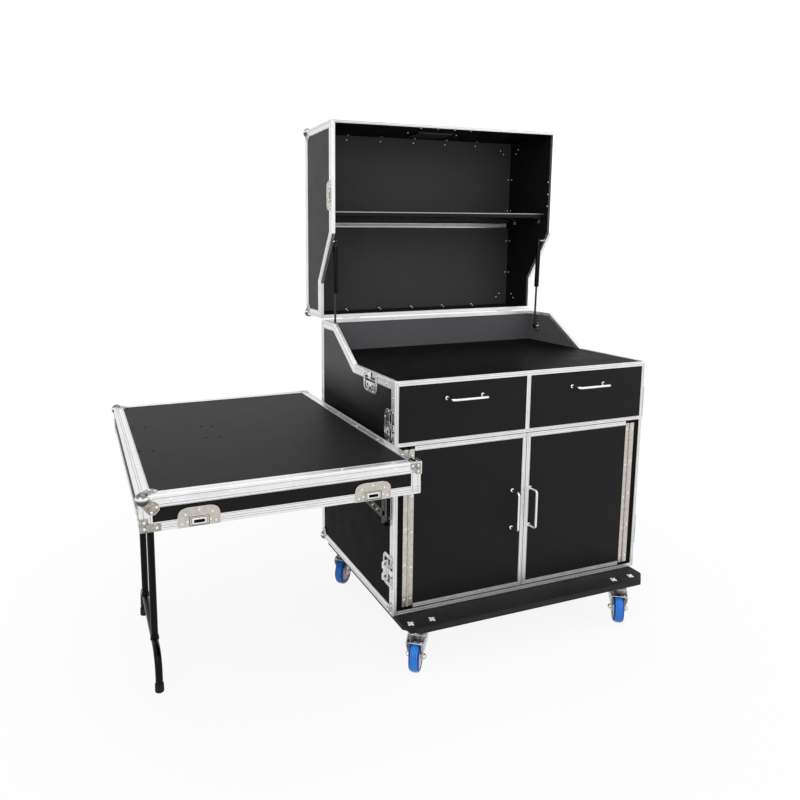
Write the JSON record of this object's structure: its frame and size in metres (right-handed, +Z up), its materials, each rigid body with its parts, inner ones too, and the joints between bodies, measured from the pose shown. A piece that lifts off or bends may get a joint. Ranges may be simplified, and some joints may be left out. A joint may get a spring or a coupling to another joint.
{
  "type": "mobile coffee bar flight case",
  "caption": "Black flight case cabinet on castors with drawers and doors, a lid that opens as a shelved hutch on gas struts, and a lift-off front cover used as a side table.",
  "frame": {"origin": "centre of the whole object's footprint box, on the floor, with the lid open and the table hung on", "axes": "+Z up, normal to the worktop; -Y towards the user in front of the drawers; +X to the user's right"},
  "size_m": [1.746, 1.022, 1.7503],
  "materials": {
    "black_laminate": "black textured laminate on plywood",
    "black_worktop": "smooth black laminate",
    "black_board": "black painted plywood",
    "black_metal": "gloss black enamel",
    "drawer_wood": "dark board",
    "aluminium": "satin extrusion",
    "steel": "bright nickel plate",
    "zinc": "zinc plate",
    "nickel": "nickel plate",
    "blue_wheel": "blue rubber"
  },
  "bodies": {
    "cabinet": {"castor_board": "black_board", "case_floor": "black_laminate", "case_side_left": "black_laminate", "case_side_right": "black_laminate", "case_back": "black_laminate", "worktop": "black_worktop", "drawer_deck": "black_laminate", "drawer_divider": "black_laminate", "case_edging": "aluminium", "door_hinge_frame_leaf_left": "nickel", "door_hinge_frame_leaf_right": "nickel", "latch_dish_upper_left": "zinc", "latch_dish_lower_left": "zinc", "latch_dish_counter_left": "zinc", "latch_dish_upper_right": "zinc", "latch_dish_lower_right": "zinc", "latch_dish_counter_right": "zinc"},
    "lid": {"lid_shell": "black_laminate", "lid_edging": "aluminium", "lid_shelf": "black_laminate", "lid_light_bar": "aluminium", "lid_handle_dish": "zinc"},
    "lid_bail": {"lid_handle_bail": "zinc"},
    "strut_tube_left": {"strut_cylinder_left": "black_metal"},
    "strut_stem_left": {"strut_rod_left": "steel"},
    "drawer_left": {"drawer_box_left": "drawer_wood", "drawer_front_left": "black_laminate", "drawer_pull_left": "steel"},
    "door_left": {"door_panel_left": "black_laminate", "door_trim_left": "aluminium", "door_hinge_door_leaf_left": "nickel", "door_pull_left": "steel"},
    "strut_tube_right": {"strut_cylinder_right": "black_metal"},
    "strut_stem_right": {"strut_rod_right": "steel"},
    "drawer_right": {"drawer_box_right": "drawer_wood", "drawer_front_right": "black_laminate", "drawer_pull_right": "steel"},
    "door_right": {"door_panel_right": "black_laminate", "door_trim_right": "aluminium", "door_hinge_door_leaf_right": "nickel", "door_pull_right": "steel"},
    "castor_front_left": {"castor_fork_front_left": "zinc"},
    "wheel_front_left": {"castor_wheel_front_left": "blue_wheel"},
    "castor_front_right": {"castor_fork_front_right": "zinc"},
    "wheel_front_right": {"castor_wheel_front_right": "blue_wheel"},
    "castor_rear_left": {"castor_fork_rear_left": "zinc"},
    "wheel_rear_left": {"castor_wheel_rear_left": "blue_wheel"},
    "castor_rear_right": {"castor_fork_rear_right": "zinc"},
    "wheel_rear_right": {"castor_wheel_rear_right": "blue_wheel"},
    "cover": {"cover_edging": "aluminium", "cover_shell": "black_laminate"},
    "leg": {"table_leg": "black_metal"},
    "wing_upper_left": {"latch_wing_upper_left": "zinc"},
    "wing_lower_left": {"latch_wing_lower_left": "zinc"},
    "wing_counter_left": {"latch_wing_counter_left": "zinc"},
    "wing_upper_right": {"latch_wing_upper_right": "zinc"},
    "wing_lower_right": {"latch_wing_lower_right": "zinc"},
    "wing_counter_right": {"latch_wing_counter_right": "zinc"},
    "bracket_front": {"table_bracket_front": "zinc"},
    "bracket_rear": {"table_bracket_rear": "zinc"}
  },
  "joints": [
    {"name": "lid_hinge", "type": "hinge", "parent": "cabinet", "child": "lid", "pos_m": [-0.096, 0.332, 1.0163], "axis": [1, 0, 0], "range_deg": [0, 90]},
    {"name": "strut_pivot_left", "type": "hinge", "parent": "lid", "child": "strut_tube_left", "pos_m": [-0.066, 0.253, 1.312], "axis": [1, 0, 0], "range_deg": [0, 3.95]},
    {"name": "strut_rod_left", "type": "slide", "parent": "strut_tube_left", "child": "strut_stem_left", "axis": [0, -0.0197, 0.9998], "range_m": [0, 0.131]},
    {"name": "strut_pivot_right", "type": "hinge", "parent": "lid", "child": "strut_tube_right", "pos_m": [0.834, 0.253, 1.312], "axis": [1, 0, 0], "range_deg": [0, 3.95]},
    {"name": "strut_rod_right", "type": "slide", "parent": "strut_tube_right", "child": "strut_stem_right", "axis": [0, -0.0197, 0.9998], "range_m": [0, 0.131]},
    {"name": "lid_bail_hinge", "type": "hinge", "parent": "lid", "child": "lid_bail", "pos_m": [0.384, 0.405, 1.733], "axis": [1, 0, 0], "range_deg": [-90, 0]},
    {"name": "drawer_slide_left", "type": "slide", "parent": "cabinet", "child": "drawer_left", "axis": [0, -1, 0], "range_m": [0, 0.42]},
    {"name": "drawer_slide_right", "type": "slide", "parent": "cabinet", "child": "drawer_right", "axis": [0, -1, 0], "range_m": [0, 0.42]},
    {"name": "door_hinge_left", "type": "hinge", "parent": "cabinet", "child": "door_left", "pos_m": [-0.045, -0.3036, 0.42705], "axis": [0, 0, -1], "range_deg": [0, 95]},
    {"name": "door_hinge_right", "type": "hinge", "parent": "cabinet", "child": "door_right", "pos_m": [0.813, -0.3036, 0.42705], "axis": [0, 0, 1], "range_deg": [0, 110]},
    {"name": "castor_swivel_front_left", "type": "hinge", "parent": "cabinet", "child": "castor_front_left", "pos_m": [-0.024, -0.34, 0], "axis": [0, 0, 1], "continuous": true},
    {"name": "castor_roll_front_left", "type": "hinge", "parent": "castor_front_left", "child": "wheel_front_left", "pos_m": [-0.04924, -0.37231, 0.05], "axis": [-0.788, 0.6157, 0], "continuous": true},
    {"name": "castor_swivel_front_right", "type": "hinge", "parent": "cabinet", "child": "castor_front_right", "pos_m": [0.762, -0.34, 0], "axis": [0, 0, 1], "continuous": true},
    {"name": "castor_roll_front_right", "type": "hinge", "parent": "castor_front_right", "child": "wheel_front_right", "pos_m": [0.73676, -0.37231, 0.05], "axis": [-0.788, 0.6157, 0], "continuous": true},
    {"name": "castor_swivel_rear_left", "type": "hinge", "parent": "cabinet", "child": "castor_rear_left", "pos_m": [-0.024, 0.237, 0], "axis": [0, 0, 1], "continuous": true},
    {"name": "castor_roll_rear_left", "type": "hinge", "parent": "castor_rear_left", "child": "wheel_rear_left", "pos_m": [-0.05349, 0.20852, 0.05], "axis": [-0.6947, 0.7193, 0], "continuous": true},
    {"name": "castor_swivel_rear_right", "type": "hinge", "parent": "cabinet", "child": "castor_rear_right", "pos_m": [0.762, 0.237, 0], "axis": [0, 0, 1], "continuous": true},
    {"name": "castor_roll_rear_right", "type": "hinge", "parent": "castor_rear_right", "child": "wheel_rear_right", "pos_m": [0.74027, 0.20223, 0.05], "axis": [-0.848, 0.5299, 0], "continuous": true},
    {"name": "cover_lift", "type": "slide", "parent": "cabinet", "child": "cover", "axis": [0, 0, 1], "range_m": [0, 0.3]},
    {"name": "table_leg_hinge", "type": "hinge", "parent": "cover", "child": "leg", "pos_m": [-0.805, 0.022, 0.665], "axis": [0, -1, 0], "range_deg": [0, 90]},
    {"name": "latch_wing_upper_left", "type": "hinge", "parent": "cabinet", "child": "wing_upper_left", "pos_m": [-0.0965, -0.2685, 0.7523], "axis": [0, 0, 1], "range_deg": [0, 90]},
    {"name": "latch_wing_lower_left", "type": "hinge", "parent": "cabinet", "child": "wing_lower_left", "pos_m": [-0.0965, -0.2685, 0.2873], "axis": [0, 0, 1], "range_deg": [-90, 0]},
    {"name": "latch_wing_counter_left", "type": "hinge", "parent": "cabinet", "child": "wing_counter_left", "pos_m": [-0.0965, -0.128, 0.8618], "axis": [0, 1, 0], "range_deg": [0, 90]},
    {"name": "latch_wing_upper_right", "type": "hinge", "parent": "cabinet", "child": "wing_upper_right", "pos_m": [0.8645, -0.2685, 0.7523], "axis": [0, 0, -1], "range_deg": [0, 90]},
    {"name": "latch_wing_lower_right", "type": "hinge", "parent": "cabinet", "child": "wing_lower_right", "pos_m": [0.8645, -0.2685, 0.2873], "axis": [0, 0, -1], "range_deg": [0, 90]},
    {"name": "latch_wing_counter_right", "type": "hinge", "parent": "cabinet", "child": "wing_counter_right", "pos_m": [0.8645, -0.128, 0.8618], "axis": [0, -1, 0], "range_deg": [0, 90]},
    {"name": "bracket_swing_front", "type": "hinge", "parent": "cabinet", "child": "bracket_front", "pos_m": [-0.1045, -0.266, 0.4395], "axis": [0, 0, -1], "range_deg": [0, 90]},
    {"name": "bracket_swing_rear", "type": "hinge", "parent": "cabinet", "child": "bracket_rear", "pos_m": [-0.1045, 0.285, 0.4395], "axis": [0, 0, 1], "range_deg": [0, 90]}
  ],
  "couplings": [
    {"joint": "strut_pivot_left", "follows": "lid_hinge", "ratio": 0.043368},
    {"joint": "strut_rod_left", "follows": "lid_hinge", "m_per_rad": 0.083081},
    {"joint": "strut_pivot_right", "follows": "lid_hinge", "ratio": 0.043368},
    {"joint": "strut_rod_right", "follows": "lid_hinge", "m_per_rad": 0.083081}
  ]
}
